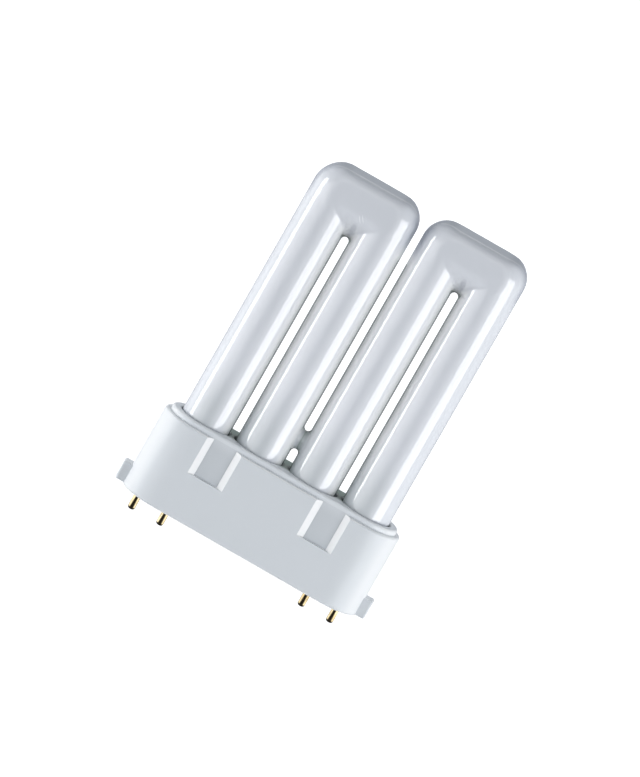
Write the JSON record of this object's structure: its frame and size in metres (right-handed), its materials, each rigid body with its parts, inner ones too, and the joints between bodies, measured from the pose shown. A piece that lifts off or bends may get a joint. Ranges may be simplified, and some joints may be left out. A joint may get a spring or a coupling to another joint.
{
  "type": "compact fluorescent lamp",
  "caption": "Flat plug-in fluorescent lamp: white U-shaped glass tubes side by side on a moulded base with a row of brass contact pins.",
  "frame": {"origin": "middle of the base's underside, the face that seats on the lampholder", "axes": "+Z along the glass legs, away from the base; +X along the row of legs and pins; +Y from the front to the back"},
  "size_m": [0.0846, 0.023, 0.1222],
  "materials": {
    "coated_glass": "clear glass over a white inner coating, opaque and glossy",
    "base_plastic": "white moulded plastic with a soft gloss",
    "cement": "dull grey-white cement",
    "pin_brass": "polished",
    "wire_metal": "drawn nickel-iron wire"
  },
  "bodies": {
    "root": {"discharge_tube": "coated_glass", "tube_holder": "base_plastic", "base_housing": "base_plastic", "cement_1": "cement", "cement_2": "cement", "cement_3": "cement", "cement_4": "cement", "contact_pin_1": "pin_brass", "contact_pin_2": "pin_brass", "contact_pin_3": "pin_brass", "contact_pin_4": "pin_brass", "lead_wire_1": "wire_metal", "lead_wire_2": "wire_metal", "lead_wire_3": "wire_metal", "lead_wire_4": "wire_metal"}
  },
  "joints": []
}
